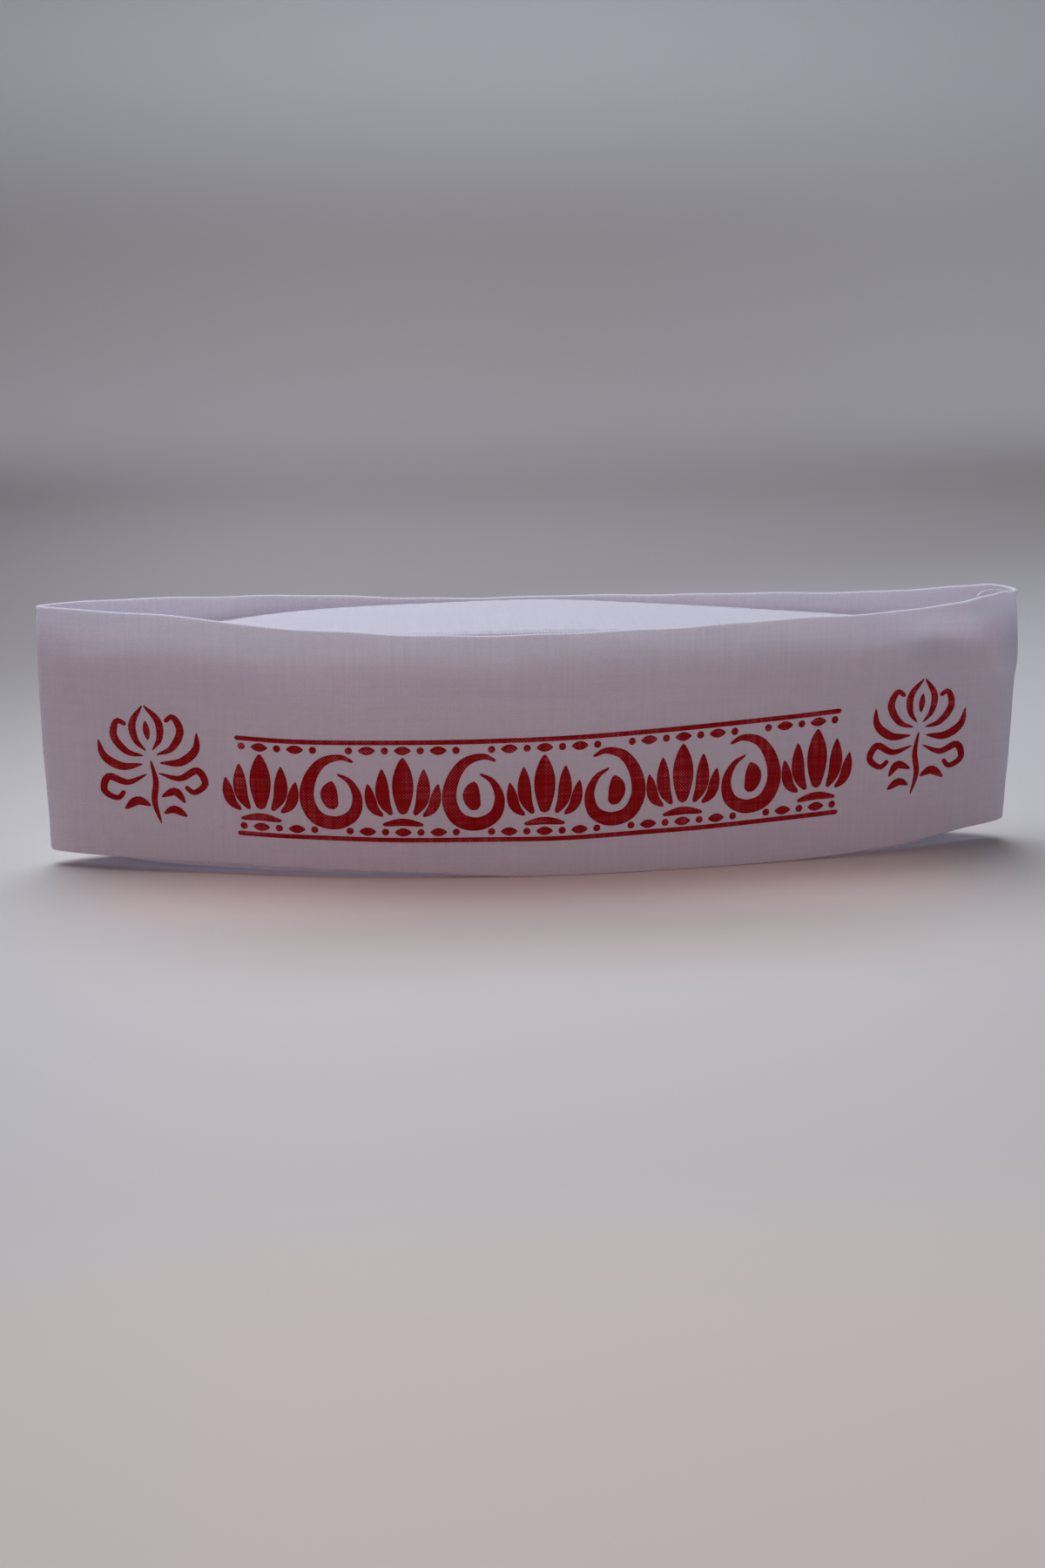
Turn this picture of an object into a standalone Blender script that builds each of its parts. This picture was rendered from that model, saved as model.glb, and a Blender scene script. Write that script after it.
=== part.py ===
"""A Gandhi cap: a long boat-shaped cloth cap, pointed fore and aft, with a deep band turned up all round.

It stands open on its foot. Its length runs along X with a point at each end, -Y is its printed side and +Z
is up. Three cut pieces make it: the outer band, the side wall inside it that goes round the head, and the
crown, the long pointed panel sewn across the top of the side wall.
"""

import math
from collections import namedtuple

import bmesh
import bpy

# Sizes, in metres
CAP_LENGTH = 0.2824  # from point to point, outside
RIM_WIDTH = 0.0558  # across the middle of the rim, outside
FOOT_WIDTH = 0.0508  # across the middle of the foot, outside
BAND_HEIGHT = 0.0710  # from foot to rim, at the middle
POINT_RISE = 0.0055  # how much higher the rim is near the points
POINT_LIFT = 0.0065  # how far the foot of the right point stands clear of the table
FOOT_HEM = 0.0035  # the turned cloth at the foot, which stands upright
BAND_CLOTH = 0.0012  # two plies and their starch
SIDE_CLOTH = 0.0010
CROWN_CLOTH = 0.0010
CLEARANCE = 0.0003  # between pieces that are sewn together
DENT_DEPTH = 0.0016
CROWN_SINK = 0.0015  # how far the crown's seam lies below the rim's lowest place
CROWN_FALL = 0.0074  # how much lower the seam is at the points
CROWN_SWELL = 0.0016  # how far the crown stands above its own seam
SIDE_TIP_ROOM = 0.0052  # from the band's point to the side wall's point
SIDE_TIP_ROUND = 0.0028
SIDE_LEAN = 0.0012  # how far the side wall leans in at its seam

HALF_LENGTH = (CAP_LENGTH - BAND_CLOTH) / 2  # to the middle of the band's cloth

# How finely the cloth is drawn
BAND_COLUMNS = 112
BAND_ROWS = 10
SIDE_COLUMNS = 88
SIDE_ROWS = 4
CROWN_COLUMNS = 44
CROWN_STRIPS = 10
SLOPE_STEP = 0.004  # share of the half length over which the band's slant is read

NEAR, FAR = "near", "far"

# Across the cap, from the left point to the right one. "at" is a share of the half length. The widths are
# shares of the half width of a plain oval, the rises of POINT_RISE, the lifts of POINT_LIFT and the falls of
# CROWN_FALL.
Section = namedtuple("Section", "at near_rim far_rim near_foot far_foot rise near_lift far_lift fall")
SECTIONS = (
    Section(-1.00, 0.42, 0.44, 0.48, 0.48, 0.98, 0.68, 0.68, 1.00),
    Section(-0.90, 0.59, 0.62, 0.61, 0.60, 0.91, 0.64, 0.60, 0.75),
    Section(-0.70, 0.75, 0.75, 0.72, 0.74, 0.71, 0.50, 0.42, 0.32),
    Section(-0.50, 1.01, 1.02, 0.88, 0.92, 0.40, 0.40, 0.18, 0.16),
    Section(-0.25, 1.03, 1.04, 0.97, 1.00, 0.06, 0.21, 0.00, 0.10),
    Section(0.00, 1.01, 0.99, 1.00, 1.00, 0.00, 0.00, 0.00, 0.02),
    Section(0.25, 0.92, 0.92, 0.94, 0.95, 0.11, 0.00, 0.00, 0.20),
    Section(0.50, 0.82, 0.84, 0.84, 0.86, 0.25, 0.03, 0.10, 0.42),
    Section(0.75, 0.79, 0.79, 0.76, 0.77, 0.44, 0.35, 0.40, 0.66),
    Section(0.92, 0.75, 0.73, 0.71, 0.70, 0.82, 0.90, 0.90, 0.87),
    Section(0.97, 0.84, 0.86, 0.70, 0.70, 0.95, 0.97, 0.97, 0.95),
    Section(1.00, 0.90, 0.90, 0.70, 0.70, 0.80, 1.00, 1.00, 1.00),
)

# Soft hollows and swells in the band. "at" and "long" are shares of the half length, "up" and "tall" of the
# band's height, and "out" of DENT_DEPTH, positive where the cloth stands out.
Dent = namedtuple("Dent", "side at up long tall out")
DENTS = (
    Dent(NEAR, -0.05, 0.62, 0.45, 0.16, -0.55),
    Dent(NEAR, -0.60, 0.68, 0.18, 0.20, -0.45),
    Dent(NEAR, 0.45, 0.66, 0.25, 0.18, -0.50),
    Dent(NEAR, 0.84, 0.66, 0.06, 0.26, -0.90),
    Dent(NEAR, 0.93, 0.78, 0.03, 0.30, 0.60),
    Dent(NEAR, 0.10, 0.25, 0.60, 0.22, 0.50),
    Dent(FAR, -0.50, 0.80, 0.12, 0.25, 0.60),
    Dent(FAR, -0.15, 0.70, 0.20, 0.25, -0.60),
    Dent(FAR, 0.35, 0.60, 0.22, 0.22, -0.50),
    Dent(FAR, 0.80, 0.75, 0.08, 0.30, 0.55),
    Dent(FAR, 0.05, 0.28, 0.55, 0.22, 0.50),
)

WHITE = (0.83, 0.83, 0.88, 1.0)
CLOTH_ROUGHNESS = 0.85


def between(column, at):
    """A column of SECTIONS at a share of the half length, as a smooth curve that never overshoots its rows."""
    places = [row.at for row in SECTIONS]
    values = [getattr(row, column) for row in SECTIONS]
    at = min(max(at, places[0]), places[-1])
    steps = [b - a for a, b in zip(places, places[1:])]
    slopes = [(b - a) / step for a, b, step in zip(values, values[1:], steps)]

    def tangent(i):
        if i == 0 or i == len(slopes):
            return slopes[min(i, len(slopes) - 1)]
        before, after = slopes[i - 1], slopes[i]
        if before * after <= 0.0:
            return 0.0
        return 2.0 * before * after / (before + after)

    i = max(k for k in range(len(steps)) if places[k] <= at)
    t = (at - places[i]) / steps[i]
    ease = t * t * (3.0 - 2.0 * t)
    bend = t * (1.0 - t) * steps[i] * (tangent(i) * (1.0 - t) - tangent(i + 1) * t)
    return values[i] + (values[i + 1] - values[i]) * ease + bend


def foot_height(side, at):
    return POINT_LIFT * between(side + "_lift", at)


def rim_height(at):
    return BAND_HEIGHT + POINT_RISE * between("rise", at)


def seam_height(at):
    return BAND_HEIGHT - CROWN_SINK - CROWN_FALL * between("fall", at)


def oval(at):
    """Half width of a plain oval of half length 1 and half width 1."""
    return math.sqrt(max(0.0, 1.0 - at * at))


def above_hem(height, top):
    """Share of the way up, 0 over the upright hem and 1 at the top."""
    return min(max((height - FOOT_HEM) / (top - FOOT_HEM), 0.0), 1.0)


def flare(height, top):
    """How far a wall has opened from its foot's width to its top's."""
    risen = above_hem(height, top)
    return risen * risen * (3.0 - 2.0 * risen)


def dents(side, at, up):
    """How far the cloth stands out of its plain section, where nothing stiffens it."""
    out = 0.0
    for dent in DENTS:
        if dent.side == side:
            along = (at - dent.at) / dent.long
            upward = (up - dent.up) / dent.tall
            out += dent.out * math.exp(-along * along - upward * upward)
    return DENT_DEPTH * out * oval(at)


def band_half_width(side, at, share):
    """Half width of the middle of the band's cloth, at a share of its height from foot to rim."""
    foot = (FOOT_WIDTH - BAND_CLOTH) / 2 * between(side + "_foot", at)
    rim = (RIM_WIDTH - BAND_CLOTH) / 2 * between(side + "_rim", at)
    tall = rim_height(at) - foot_height(side, at)
    height = share * tall
    risen = above_hem(height, tall)
    softness = min(1.0, 4.0 * risen * (1.0 - risen))
    plain = oval(at) * (foot + (rim - foot) * flare(height, tall))
    return plain + softness * dents(side, at, share)


def room_inside(side, at):
    """The least half width of the band's middle cloth at any height, which the side wall has to clear."""
    return min(band_half_width(side, at, row / BAND_ROWS) for row in range(BAND_ROWS))


def side_half_width(side, at_x):
    """Half width of the middle of the side wall's cloth, a clearance inside the band."""
    at = at_x / HALF_LENGTH
    widening = room_inside(side, at + SLOPE_STEP) - room_inside(side, at - SLOPE_STEP)
    slope = widening / (2.0 * SLOPE_STEP * HALF_LENGTH)
    inset = BAND_CLOTH / 2 + CLEARANCE + SIDE_CLOTH / 2
    wide = room_inside(side, at) - inset * math.sqrt(1.0 + slope * slope)
    past = max(0.0, abs(at_x) - (HALF_LENGTH - SIDE_TIP_ROOM - SIDE_TIP_ROUND)) / SIDE_TIP_ROUND
    return wide * math.sqrt(max(0.0, 1.0 - past * past))


def loop_place(turn):
    """Side, share of the half length and sign of Y, for a turn from 0 to 1. It starts at the left point."""
    angle = 2.0 * math.pi * turn
    side = NEAR if turn < 0.5 else FAR
    return side, -math.cos(angle), (-1.0 if side == NEAR else 1.0)


def wall_mesh(name, columns, rows, point):
    """An open loop of cloth. point(turn, share) gives a place on the middle of the cloth."""
    mesh = bmesh.new()
    grid = [
        [mesh.verts.new(point(column / columns, row / rows)) for row in range(rows + 1)]
        for column in range(columns)
    ]
    for column in range(columns):
        here, there = grid[column], grid[(column + 1) % columns]
        for row in range(rows):
            mesh.faces.new((here[row], there[row], there[row + 1], here[row + 1]))
    return finished(name, mesh)


def finished(name, mesh):
    data = bpy.data.meshes.new(name)
    mesh.to_mesh(data)
    mesh.free()
    data.shade_smooth()
    return bpy.data.objects.new(name, data)


def thicken(piece, cloth):
    """Gives an open surface the thickness of its cloth, half to each side."""
    solidify = piece.modifiers.new("cloth", "SOLIDIFY")
    solidify.thickness = cloth
    solidify.offset = 0.0
    solidify.use_even_offset = True
    return piece


def cloth_material(name):
    material = bpy.data.materials.new(name)
    material.use_nodes = True
    shader = material.node_tree.nodes["Principled BSDF"]
    shader.inputs["Base Color"].default_value = WHITE
    shader.inputs["Roughness"].default_value = CLOTH_ROUGHNESS
    shader.inputs["Metallic"].default_value = 0.0
    return material


def make_band():
    """The printed outer wall, a closed loop with its top edge free. Its first row is the upright hem."""

    def point(turn, share):
        side, at, way = loop_place(turn)
        low, high = foot_height(side, at), rim_height(at)
        hem = FOOT_HEM / (high - low)
        first_row = 1.0 / BAND_ROWS
        if share <= first_row:
            up = hem * share / first_row
        else:
            up = hem + (1.0 - hem) * (share - first_row) / (1.0 - first_row)
        return (HALF_LENGTH * at, way * band_half_width(side, at, up), low + (high - low) * up)

    band = wall_mesh("band", BAND_COLUMNS, BAND_ROWS, point)
    return thicken(band, BAND_CLOTH)


def make_side_wall():
    """The wall that goes round the head, from the foot to the crown's seam."""

    def point(turn, share):
        side, tip_share, way = loop_place(turn)
        x = (HALF_LENGTH - SIDE_TIP_ROOM) * tip_share
        at = x / HALF_LENGTH
        low, high = foot_height(side, at), seam_height(at)
        lean = SIDE_LEAN * flare(share * (high - low), high - low) * oval(tip_share)
        wide = side_half_width(side, x) - lean
        return (x, way * max(wide, 0.0), low + (high - low) * share)

    wall = wall_mesh("side_wall", SIDE_COLUMNS, SIDE_ROWS, point)
    return thicken(wall, SIDE_CLOTH)


def crown_outline(tip_share):
    """Place along the cap, and the crown's near and far half widths there: the outside of the side wall's top."""
    x = (HALF_LENGTH - SIDE_TIP_ROOM) * tip_share
    lean = SIDE_LEAN * oval(tip_share)
    cover = SIDE_CLOTH / 2 * oval(tip_share)
    return x, *(side_half_width(side, x) - lean + cover for side in (NEAR, FAR))


def make_crown():
    """The pointed panel across the top. It lies on the side wall's upper edge and swells a little above it."""
    rest = CLEARANCE + CROWN_CLOTH / 2
    mesh = bmesh.new()
    lines = []
    for column in range(CROWN_COLUMNS + 1):
        tip_share = -math.cos(math.pi * column / CROWN_COLUMNS)
        x, near, far = crown_outline(tip_share)
        seam = seam_height(x / HALF_LENGTH) + rest
        if column in (0, CROWN_COLUMNS):
            lines.append([mesh.verts.new((x, 0.0, seam))] * (CROWN_STRIPS + 1))
            continue
        line = []
        for strip in range(CROWN_STRIPS + 1):
            across = -math.cos(math.pi * strip / CROWN_STRIPS)
            y = across * (near if across < 0.0 else far)
            swell = CROWN_SWELL * (1.0 - across * across) * (1.0 - tip_share * tip_share)
            line.append(mesh.verts.new((x, y, seam + swell)))
        lines.append(line)
    for here, there in zip(lines, lines[1:]):
        for strip in range(CROWN_STRIPS):
            corners = (here[strip], there[strip], there[strip + 1], here[strip + 1])
            mesh.faces.new(list(dict.fromkeys(corners)))
    return thicken(finished("crown", mesh), CROWN_CLOTH)


def main():
    for old in list(bpy.data.objects):
        bpy.data.objects.remove(old)
    collection = bpy.data.collections.new("Gandhi cap")
    bpy.context.scene.collection.children.link(collection)
    for make, material in (
        (make_band, "band_cloth"),
        (make_side_wall, "side_cloth"),
        (make_crown, "crown_cloth"),
    ):
        piece = make()
        piece.data.materials.append(cloth_material(material))
        collection.objects.link(piece)


main()
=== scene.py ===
"""A Gandhi cap standing open on its foot: its looks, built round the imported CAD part.

Its length runs along X with a point at each end, -Y is its printed side and +Z is up. Lengths are in metres,
and the print's drawings are in millimetres, as they are marked.
"""

import math
from collections import namedtuple

import bmesh
import bpy
import numpy as np
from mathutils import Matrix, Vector


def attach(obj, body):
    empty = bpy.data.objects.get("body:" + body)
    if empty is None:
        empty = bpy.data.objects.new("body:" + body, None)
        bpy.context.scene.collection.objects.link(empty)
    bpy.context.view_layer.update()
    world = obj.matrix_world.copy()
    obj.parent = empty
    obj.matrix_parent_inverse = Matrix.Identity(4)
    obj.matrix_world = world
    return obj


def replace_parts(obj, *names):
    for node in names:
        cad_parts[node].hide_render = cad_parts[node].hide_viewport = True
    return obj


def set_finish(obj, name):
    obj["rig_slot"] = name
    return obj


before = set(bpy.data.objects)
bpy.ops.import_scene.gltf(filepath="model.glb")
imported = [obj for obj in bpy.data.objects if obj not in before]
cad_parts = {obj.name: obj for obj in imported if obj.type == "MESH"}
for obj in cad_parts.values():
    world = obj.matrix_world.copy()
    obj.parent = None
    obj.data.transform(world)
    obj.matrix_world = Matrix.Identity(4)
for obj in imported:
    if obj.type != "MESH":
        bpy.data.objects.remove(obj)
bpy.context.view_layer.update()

# The photograph's camera
CAMERA_PLACE = (-0.0585, -0.6051, 0.1937)
CAMERA_PITCH = 0.2779
CAMERA_YAW = 0.09
LENS_MM = 49.38
SENSOR_MM = 36.0

# The cap's sizes, as the CAD part has them
CAP_LENGTH = 0.2824
RIM_WIDTH = 0.0558
FOOT_WIDTH = 0.0508
BAND_HEIGHT = 0.0710
POINT_RISE = 0.0055
POINT_LIFT = 0.0065
FOOT_HEM = 0.0035
BAND_CLOTH = 0.0012
SIDE_CLOTH = 0.0010
CROWN_CLOTH = 0.0010
CLEARANCE = 0.0003
DENT_DEPTH = 0.0016
CROWN_SINK = 0.0015
CROWN_FALL = 0.0074
CROWN_SWELL = 0.0016
SIDE_TIP_ROOM = 0.0052
SIDE_TIP_ROUND = 0.0028
SIDE_LEAN = 0.0012
HALF_LENGTH = (CAP_LENGTH - BAND_CLOTH) / 2
SLOPE_STEP = 0.004  # the share of the half length over which a slope is taken
ROOM_ROWS = 10  # the heights at which the room inside the band is measured

# The band's finer shape
RIM_FOLD = 0.00025  # the folded rim is a little thicker than the wall
RIM_FOLD_TALL = 0.0010
RIM_PRESS = 0.00030  # and just below it the cloth is pressed thinner
RIM_PRESS_DOWN = 0.0022
RIM_PRESS_TALL = 0.0012
RIM_WAVE = 0.00016
RIM_WAVES = ((0.0094, 0.6, 1.0), (0.0041, 2.0, 0.6))  # lengths over 2 pi, phases and shares
RIM_WAVE_FAR = 0.016  # the far side has this length as well
RIM_WAVE_FROM = 0.8  # the share of the height where the rim's waves begin
RELIEF_FOOT_FADE = 0.12  # shares of the height over which the slow waves fade out at foot and rim
RELIEF_RIM_FADE = 0.06
CREASE_END_FADE = 0.25  # the share of a crease's length over which each of its ends fades out
LEFT_POINT_SWELL = 0.0007  # how far the points swell out between rim and foot
RIGHT_POINT_SWELL = 0.0013
POINT_SWELL_LONG = 0.012
RIGHT_SWELL_RIM_FADE = 0.2
RIGHT_SWELL_FOOT_FADE = 0.9

# The side wall's finer shape
FOOT_SPREAD = 0.0030  # its lowest part leans out to the band, where they are sewn
SIDE_SHOWS = 0.0015  # on the near side its foot shows this much below the band's
SIDE_SHOWS_LIFT = 0.0026  # where the band's foot is lifted this much or more
SIDE_SHOWS_END = 0.96  # up to this share of the half length
SIDE_SHOWS_FADE = 0.25

# The crown's finer shape
CROWN_LEFT_SAG = 0.0011  # it hangs a little lower than the CAD part's where the left point begins
CROWN_SAG_AT = -0.70
CROWN_SAG_LONG = 0.20
CROWN_REACH = 0.0013  # its sewn edge hangs over the side wall's top
CROWN_EDGE_ROLL = 0.0022
CROWN_EDGE_DROP = 0.0010
CROWN_EDGE_ROUND = 0.3  # the share of the cloth's thickness that the edge is rounded by
CROWN_TIP_WIDE = 0.004  # at its tips, narrower than this, the relief fades out
WELT_HIGH = 0.00060  # the sewn edge stands up as a welt
WELT_IN = 0.0006
WELT_WIDE = 0.0005
FURROW_DEEP = 0.00060  # the seam pulls a furrow beside it
FURROW_IN = 0.0019
FURROW_WIDE = 0.0005
PUCKER_HIGH = 0.00016  # and the cloth puckers a little inside that
PUCKER_IN = 0.0045
PUCKER_WIDE = 0.003
PUCKER_LONG = 0.0062
PUCKER_DRIFT = 0.8  # the puckers aren't evenly spaced
PUCKER_DRIFT_LONG = 0.011
CROWN_WAVE = 0.00018
CROWN_WAVE_LONG = 0.0125
CROWN_WAVE_IN = 0.008

# How finely the cloth is drawn
BAND_COLUMNS = 600
BAND_ROWS = 64
ROW_SHARES = (0.0, 0.28, 0.90, 1.0)  # these shares of the rows lie at these shares of the height: closer
ROW_HEIGHTS = (0.0, 0.55, 0.95, 1.0)  # together where the creases are
ALONG_STEPS = 4001
FOLD_STEPS = 5
SIDE_COLUMNS = 360
SIDE_ROWS = 24
CROWN_COLUMNS = 300
CROWN_STRIPS = 72

# The weave: its threads' distance
BAND_THREAD = 0.00046
CROWN_THREAD = 0.00052
PLACE = "cloth_place"  # each point's place along the cloth, up it, and down from its rim

NEAR, FAR = "near", "far"

# Along the cap, from the left point to the right one, as in the CAD part, but for a higher rim at the right
Section = namedtuple("Section", "at near_rim far_rim near_foot far_foot rise near_lift far_lift fall")
SECTIONS = (
    Section(-1.00, 0.42, 0.44, 0.48, 0.48, 0.98, 0.68, 0.68, 1.00),
    Section(-0.90, 0.59, 0.62, 0.61, 0.60, 0.91, 0.64, 0.60, 0.75),
    Section(-0.70, 0.75, 0.75, 0.72, 0.74, 0.71, 0.50, 0.42, 0.32),
    Section(-0.50, 1.01, 1.02, 0.88, 0.92, 0.40, 0.40, 0.18, 0.16),
    Section(-0.25, 1.03, 1.04, 0.97, 1.00, 0.06, 0.21, 0.00, 0.10),
    Section(0.00, 1.01, 0.99, 1.00, 1.00, 0.00, 0.00, 0.00, 0.02),
    Section(0.25, 0.92, 0.92, 0.94, 0.95, 0.11, 0.00, 0.00, 0.20),
    Section(0.50, 0.82, 0.84, 0.84, 0.86, 0.25, 0.03, 0.10, 0.42),
    Section(0.75, 0.79, 0.79, 0.76, 0.77, 0.44, 0.35, 0.40, 0.66),
    Section(0.92, 0.75, 0.73, 0.71, 0.70, 0.82, 0.90, 0.90, 0.87),
    Section(0.97, 0.84, 0.86, 0.70, 0.70, 0.97, 0.97, 0.97, 0.95),
    Section(1.00, 0.90, 0.90, 0.70, 0.70, 0.94, 1.00, 1.00, 1.00),
)

Dent = namedtuple("Dent", "side at up long tall out")
DENTS = (
    Dent(NEAR, -0.05, 0.62, 0.45, 0.16, -0.55),
    Dent(NEAR, -0.60, 0.68, 0.18, 0.20, -0.45),
    Dent(NEAR, 0.45, 0.66, 0.25, 0.18, -0.50),
    Dent(NEAR, 0.84, 0.66, 0.06, 0.26, -0.90),
    Dent(NEAR, 0.93, 0.78, 0.03, 0.30, 0.60),
    Dent(NEAR, 0.10, 0.25, 0.60, 0.22, 0.50),
    Dent(FAR, -0.50, 0.80, 0.12, 0.25, 0.60),
    Dent(FAR, -0.15, 0.70, 0.20, 0.25, -0.60),
    Dent(FAR, 0.35, 0.60, 0.22, 0.22, -0.50),
    Dent(FAR, 0.80, 0.75, 0.08, 0.30, 0.55),
    Dent(FAR, 0.05, 0.28, 0.55, 0.22, 0.50),
)

# Creases pressed into the band, from start to end, each (x, z). bow takes the middle down, and a negative high
# makes a hollow
Crease = namedtuple("Crease", "side start end bow wide high")
CREASES = (
    Crease(NEAR, (-0.0485, 0.0564), (0.0281, 0.0520), 0.0012, 0.0012, 0.00050),
    Crease(NEAR, (-0.0136, 0.0497), (-0.0014, 0.0379), 0.0004, 0.0012, 0.00040),
    Crease(NEAR, (-0.1403, 0.0640), (-0.1195, 0.0649), 0.0000, 0.0014, 0.00055),
    Crease(NEAR, (0.1190, 0.0800), (0.1400, 0.0500), 0.0020, 0.0046, 0.00160),
    Crease(NEAR, (0.1030, 0.0630), (0.1340, 0.0640), 0.0000, 0.0056, -0.00200),
    Crease(NEAR, (0.1345, 0.0790), (0.1390, 0.0600), 0.0000, 0.0024, -0.00060),
    Crease(NEAR, (0.0880, 0.0590), (0.1120, 0.0640), 0.0010, 0.0014, 0.00030),
    Crease(FAR, (0.1253, 0.0770), (0.1325, 0.0695), 0.0003, 0.0008, -0.00050),
    Crease(FAR, (0.1180, 0.0718), (0.1250, 0.0704), 0.0002, 0.0007, -0.00040),
    Crease(FAR, (-0.0700, 0.0560), (0.0300, 0.0530), 0.0015, 0.0009, 0.00014),
    Crease(FAR, (0.0450, 0.0300), (0.0620, 0.0440), 0.0006, 0.0008, 0.00012),
)

# Slow waves over the whole band
Wave = namedtuple("Wave", "length slant phase high")
WAVES = (
    Wave(0.0610, 0.25, 0.4, 0.00016),
    Wave(0.0370, -0.55, 2.1, 0.00011),
    Wave(0.0230, 0.95, 4.0, 0.00006),
    Wave(0.0140, -1.20, 1.3, 0.00003),
)


def between(column, at):
    """A column of SECTIONS at shares of the half length, as a smooth curve that never overshoots its rows."""
    places = np.array([row.at for row in SECTIONS])
    values = np.array([getattr(row, column) for row in SECTIONS])
    steps = np.diff(places)
    slopes = np.diff(values) / steps
    before, after = slopes[:-1], slopes[1:]
    same_way = before * after > 0.0
    inner = np.where(same_way, 2.0 * before * after / np.where(same_way, before + after, 1.0), 0.0)
    tangents = np.concatenate(([slopes[0]], inner, [slopes[-1]]))
    at = np.clip(at, places[0], places[-1])
    i = np.clip(np.searchsorted(places, at, side="right") - 1, 0, len(steps) - 1)
    t = (at - places[i]) / steps[i]
    ease = t * t * (3.0 - 2.0 * t)
    bend = t * (1.0 - t) * steps[i] * (tangents[i] * (1.0 - t) - tangents[i + 1] * t)
    return values[i] + (values[i + 1] - values[i]) * ease + bend


def smooth(x):
    """Rises softly from 0 to 1 as x does."""
    x = np.clip(x, 0.0, 1.0)
    return x * x * (3.0 - 2.0 * x)


def foot_height(side, at):
    return POINT_LIFT * between(side + "_lift", at)


def rim_height(at):
    return BAND_HEIGHT + POINT_RISE * between("rise", at)


def seam_height(at):
    """The height of the seam between side wall and crown, with the sag where the left point begins."""
    sag = CROWN_LEFT_SAG * np.exp(-(((at - CROWN_SAG_AT) / CROWN_SAG_LONG) ** 2))
    return BAND_HEIGHT - CROWN_SINK - CROWN_FALL * between("fall", at) - sag


def oval(at):
    return np.sqrt(np.maximum(0.0, 1.0 - at * at))


def above_hem(height, top):
    return np.clip((height - FOOT_HEM) / (top - FOOT_HEM), 0.0, 1.0)


def dents(side, at, up):
    out = 0.0
    for dent in DENTS:
        if dent.side == side:
            along = (at - dent.at) / dent.long
            upward = (up - dent.up) / dent.tall
            out = out + dent.out * np.exp(-along * along - upward * upward)
    return DENT_DEPTH * out * oval(at)


def band_half_width(side, at, share):
    """Half width of the middle of the band's cloth, at a share of its height from foot to rim."""
    foot = (FOOT_WIDTH - BAND_CLOTH) / 2 * between(side + "_foot", at)
    rim = (RIM_WIDTH - BAND_CLOTH) / 2 * between(side + "_rim", at)
    tall = rim_height(at) - foot_height(side, at)
    height = share * tall
    risen = above_hem(height, tall)
    softness = np.minimum(1.0, 4.0 * risen * (1.0 - risen))
    return oval(at) * (foot + (rim - foot) * smooth(risen)) + softness * dents(side, at, share)


def room_inside(side, at):
    rows = [band_half_width(side, at, row / ROOM_ROWS) for row in range(ROOM_ROWS)]
    return np.min(rows, axis=0)


def side_half_width(side, at_x):
    """Half width of the middle of the side wall's cloth, a clearance inside the band."""
    at = at_x / HALF_LENGTH
    widening = room_inside(side, at + SLOPE_STEP) - room_inside(side, at - SLOPE_STEP)
    slope = widening / (2.0 * SLOPE_STEP * HALF_LENGTH)
    inset = BAND_CLOTH / 2 + CLEARANCE + SIDE_CLOTH / 2
    wide = room_inside(side, at) - inset * np.sqrt(1.0 + slope * slope)
    past = np.maximum(0.0, np.abs(at_x) - (HALF_LENGTH - SIDE_TIP_ROOM - SIDE_TIP_ROUND)) / SIDE_TIP_ROUND
    return wide * np.sqrt(np.maximum(0.0, 1.0 - past * past))


def is_near(turn):
    return np.mod(turn, 1.0) < 0.5


def by_side(turn, value):
    """value(side) for each turn round the cap, near or far as the turn is."""
    return np.where(is_near(turn), value(NEAR), value(FAR))


def band_ends(turn):
    """The foot's and the rim's height at each turn."""
    at = -np.cos(2.0 * np.pi * turn)
    return by_side(turn, lambda side: foot_height(side, at)), rim_height(at)


def band_middle(turn, up):
    """Points on the middle of the band's cloth. up is a share of the height there."""
    at = -np.cos(2.0 * np.pi * turn)
    wide = by_side(turn, lambda side: band_half_width(side, at, up))
    low, high = band_ends(turn)
    way = np.where(is_near(turn), -1.0, 1.0)
    return np.stack([HALF_LENGTH * at, way * wide, low + (high - low) * up], axis=-1)


def outward(middle, turn, up):
    """Unit normals of a surface, out of the cap, from points a little to each side."""
    step = 1.0e-4
    along = middle(turn + step, up) - middle(turn - step, up)
    rise = middle(turn, np.minimum(up + step, 1.0)) - middle(turn, np.maximum(up - step, 0.0))
    normal = np.cross(along, rise)
    return normal / np.linalg.norm(normal, axis=-1, keepdims=True)


def crease_relief(turn, x, z):
    out = np.zeros_like(x)
    for crease in CREASES:
        (x0, z0), (x1, z1) = crease.start, crease.end
        span = np.hypot(x1 - x0, z1 - z0)
        along = ((x - x0) * (x1 - x0) + (z - z0) * (z1 - z0)) / span**2
        off = ((z - z0) * (x1 - x0) - (x - x0) * (z1 - z0)) / span + crease.bow * 4.0 * along * (1.0 - along)
        ends = smooth(along / CREASE_END_FADE) * smooth((1.0 - along) / CREASE_END_FADE)
        here = is_near(turn) == (crease.side == NEAR)
        out += np.where(here, crease.high * ends * np.exp(-((off / crease.wide) ** 2)), 0.0)
    return out


def relief(turn, point, up):
    """How far the band's cloth stands out of the CAD part's surface: slow waves and pressed creases."""
    x, z = point[..., 0], point[..., 2]
    waves = 0.0
    for wave in WAVES:
        across = x * math.cos(wave.slant) + z * math.sin(wave.slant)
        waves = waves + wave.high * np.sin(2.0 * np.pi * across / wave.length + wave.phase)
    held = smooth(up / RELIEF_FOOT_FADE) * smooth((1.0 - up) / RELIEF_RIM_FADE)
    return held * waves + crease_relief(turn, x, z)


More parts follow.
